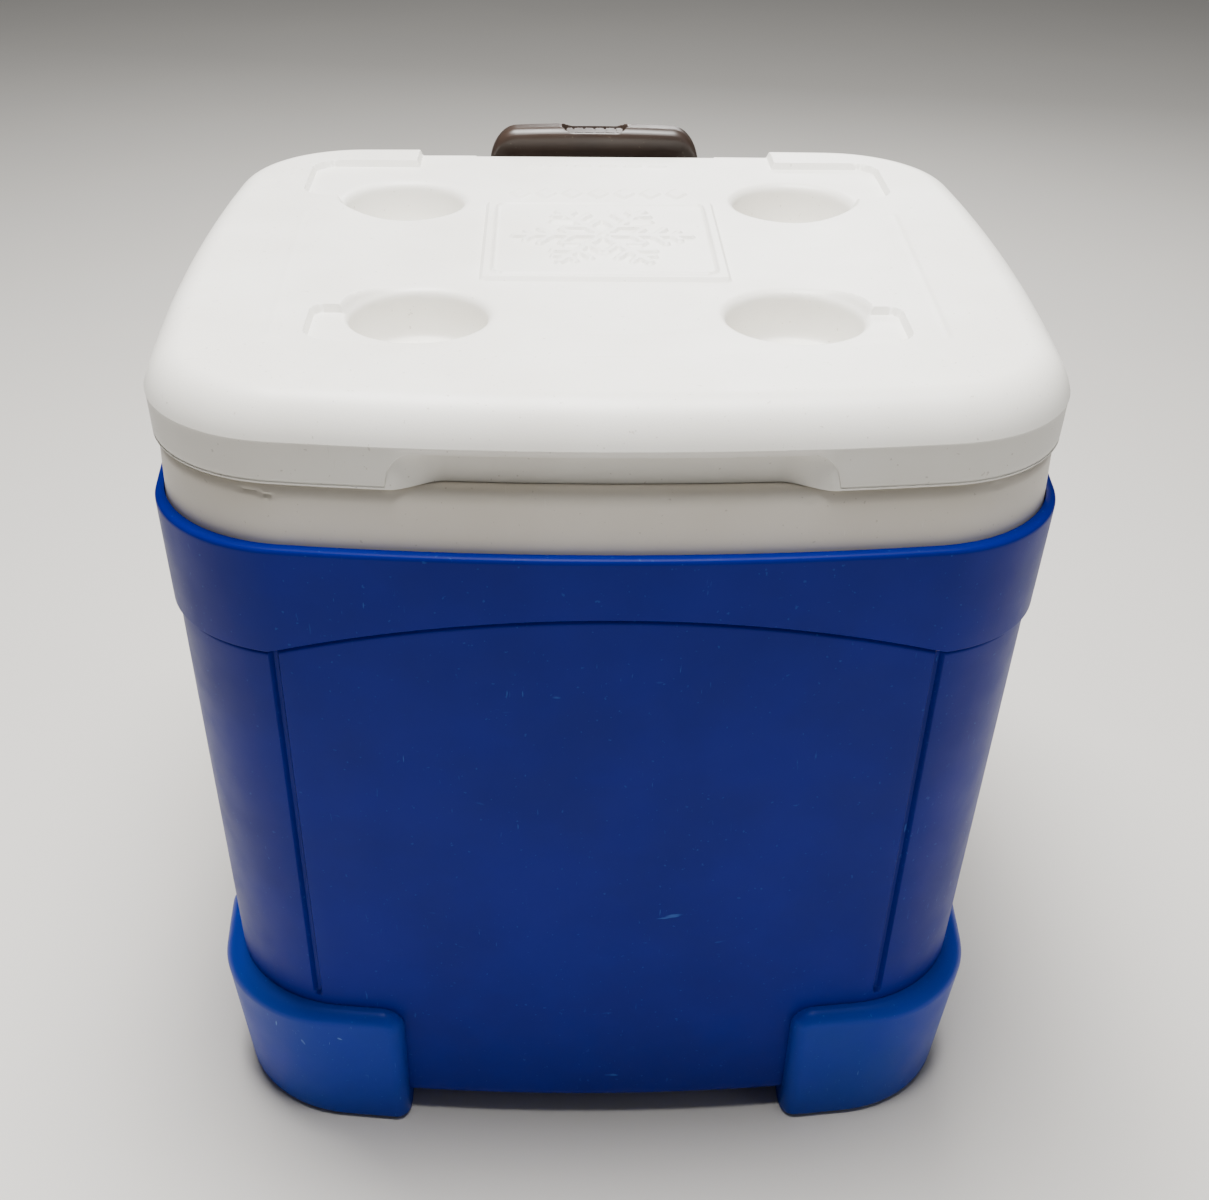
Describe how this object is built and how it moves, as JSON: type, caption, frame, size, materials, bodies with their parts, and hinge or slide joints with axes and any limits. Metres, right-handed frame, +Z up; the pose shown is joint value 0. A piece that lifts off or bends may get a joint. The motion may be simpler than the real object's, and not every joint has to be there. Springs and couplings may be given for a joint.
{
  "type": "wheeled cooler",
  "caption": "Hinged-lid insulated cooler on two rear wheels, with cup holders in the lid and a telescoping pull handle at the back.",
  "frame": {"origin": "on the floor under the middle of the outer box", "axes": "+Z up, front towards -Y, +X to the right seen from the front"},
  "size_m": [0.4738, 0.465, 0.525],
  "materials": {
    "blue_shell": "satin, fine moulded grain",
    "white_liner": "satin",
    "white_lid": "fine pebble grain",
    "white_panel": "satin",
    "foam": "cut foam",
    "hinge_plastic": "satin",
    "zinc_steel": "zinc plated",
    "tube_metal": "brushed, anodised",
    "handle_plastic": "satin",
    "wheel_plastic": "satin",
    "tyre_rubber": "matt",
    "drain_plastic": "satin",
    "seal_rubber": "matt"
  },
  "bodies": {
    "cooler_body": {"outer_shell": "blue_shell", "liner_floor": "white_liner", "liner_collar": "white_liner", "liner_wall_left": "white_liner", "liner_wall_right": "white_liner", "liner_wall_front": "white_liner", "liner_wall_rear": "white_liner", "liner_corner_front_left": "white_liner", "liner_corner_front_right": "white_liner", "liner_corner_rear_left": "white_liner", "liner_corner_rear_right": "white_liner", "insulation_core": "foam", "hinge_bracket_left": "hinge_plastic", "hinge_bracket_right": "hinge_plastic", "hinge_pin_left": "zinc_steel", "hinge_pin_right": "zinc_steel", "hinge_bracket_screws": "zinc_steel", "handle_block_screws": "zinc_steel", "handle_top_block": "handle_plastic", "handle_foot_block": "handle_plastic", "outer_tube_left": "tube_metal", "outer_tube_right": "tube_metal", "axle": "zinc_steel", "axle_cap_left": "zinc_steel", "axle_cap_right": "zinc_steel", "axle_retainer_left": "handle_plastic", "axle_retainer_right": "handle_plastic", "axle_retainer_screws": "zinc_steel", "drain_spout": "drain_plastic", "drain_seal": "seal_rubber", "drain_nut": "drain_plastic"},
    "lid": {"lid_shell": "white_lid", "lid_liner": "white_panel", "lid_insulation": "foam", "hinge_leaf_left": "hinge_plastic", "hinge_leaf_right": "hinge_plastic", "hinge_leaf_screws": "zinc_steel"},
    "handle_mid": {"mid_tube_left": "tube_metal", "mid_tube_right": "tube_metal", "mid_bridge": "handle_plastic"},
    "handle_top": {"inner_tube_left": "tube_metal", "inner_tube_right": "tube_metal", "grip_front": "handle_plastic", "grip_back": "handle_plastic", "grip_screws": "zinc_steel", "pin_carrier_left": "handle_plastic", "pin_carrier_right": "handle_plastic", "button_spring": "zinc_steel"},
    "release_button": {"release_button": "handle_plastic", "release_yoke": "handle_plastic", "push_rod_left": "zinc_steel", "push_rod_right": "zinc_steel"},
    "lock_pin_left": {"lock_pin_left": "zinc_steel"},
    "lock_pin_right": {"lock_pin_right": "zinc_steel"},
    "wheel_left": {"wheel_hub_left": "wheel_plastic", "tyre_left": "tyre_rubber"},
    "wheel_right": {"wheel_hub_right": "wheel_plastic", "tyre_right": "tyre_rubber"},
    "drain_cap": {"drain_cap": "drain_plastic"}
  },
  "joints": [
    {"name": "lid_hinge", "type": "hinge", "parent": "cooler_body", "child": "lid", "pos_m": [0, 0.2246, 0.49], "axis": [-1, 0, 0], "range_deg": [0, 105]},
    {"name": "handle_mid_slide", "type": "slide", "parent": "cooler_body", "child": "handle_mid", "axis": [0, 0, 1], "range_m": [0, 0.25]},
    {"name": "handle_top_slide", "type": "slide", "parent": "handle_mid", "child": "handle_top", "axis": [0, 0, 1], "range_m": [0, 0.25]},
    {"name": "button_press", "type": "slide", "parent": "handle_top", "child": "release_button", "axis": [0, 0, -1], "range_m": [0, 0.004], "stiffness_N_per_m": 800, "springref_m": -0.004, "deforming": ["button_spring"]},
    {"name": "lock_pin_left_slide", "type": "slide", "parent": "handle_top", "child": "lock_pin_left", "axis": [1, 0, 0], "range_m": [0, 0.0035]},
    {"name": "lock_pin_right_slide", "type": "slide", "parent": "handle_top", "child": "lock_pin_right", "axis": [-1, 0, 0], "range_m": [0, 0.0035]},
    {"name": "wheel_left_spin", "type": "hinge", "parent": "cooler_body", "child": "wheel_left", "pos_m": [-0.2075, 0.1765, 0.056], "axis": [1, 0, 0], "continuous": true},
    {"name": "wheel_right_spin", "type": "hinge", "parent": "cooler_body", "child": "wheel_right", "pos_m": [0.2075, 0.1765, 0.056], "axis": [1, 0, 0], "continuous": true},
    {"name": "drain_cap_turn", "type": "hinge", "parent": "cooler_body", "child": "drain_cap", "pos_m": [-0.23, 0.06, 0.066], "axis": [-1, 0, 0], "range_deg": [0, 450]}
  ],
  "couplings": [
    {"joint": "lock_pin_left_slide", "follows": "button_press", "ratio": 0.875},
    {"joint": "lock_pin_right_slide", "follows": "button_press", "ratio": 0.875}
  ]
}
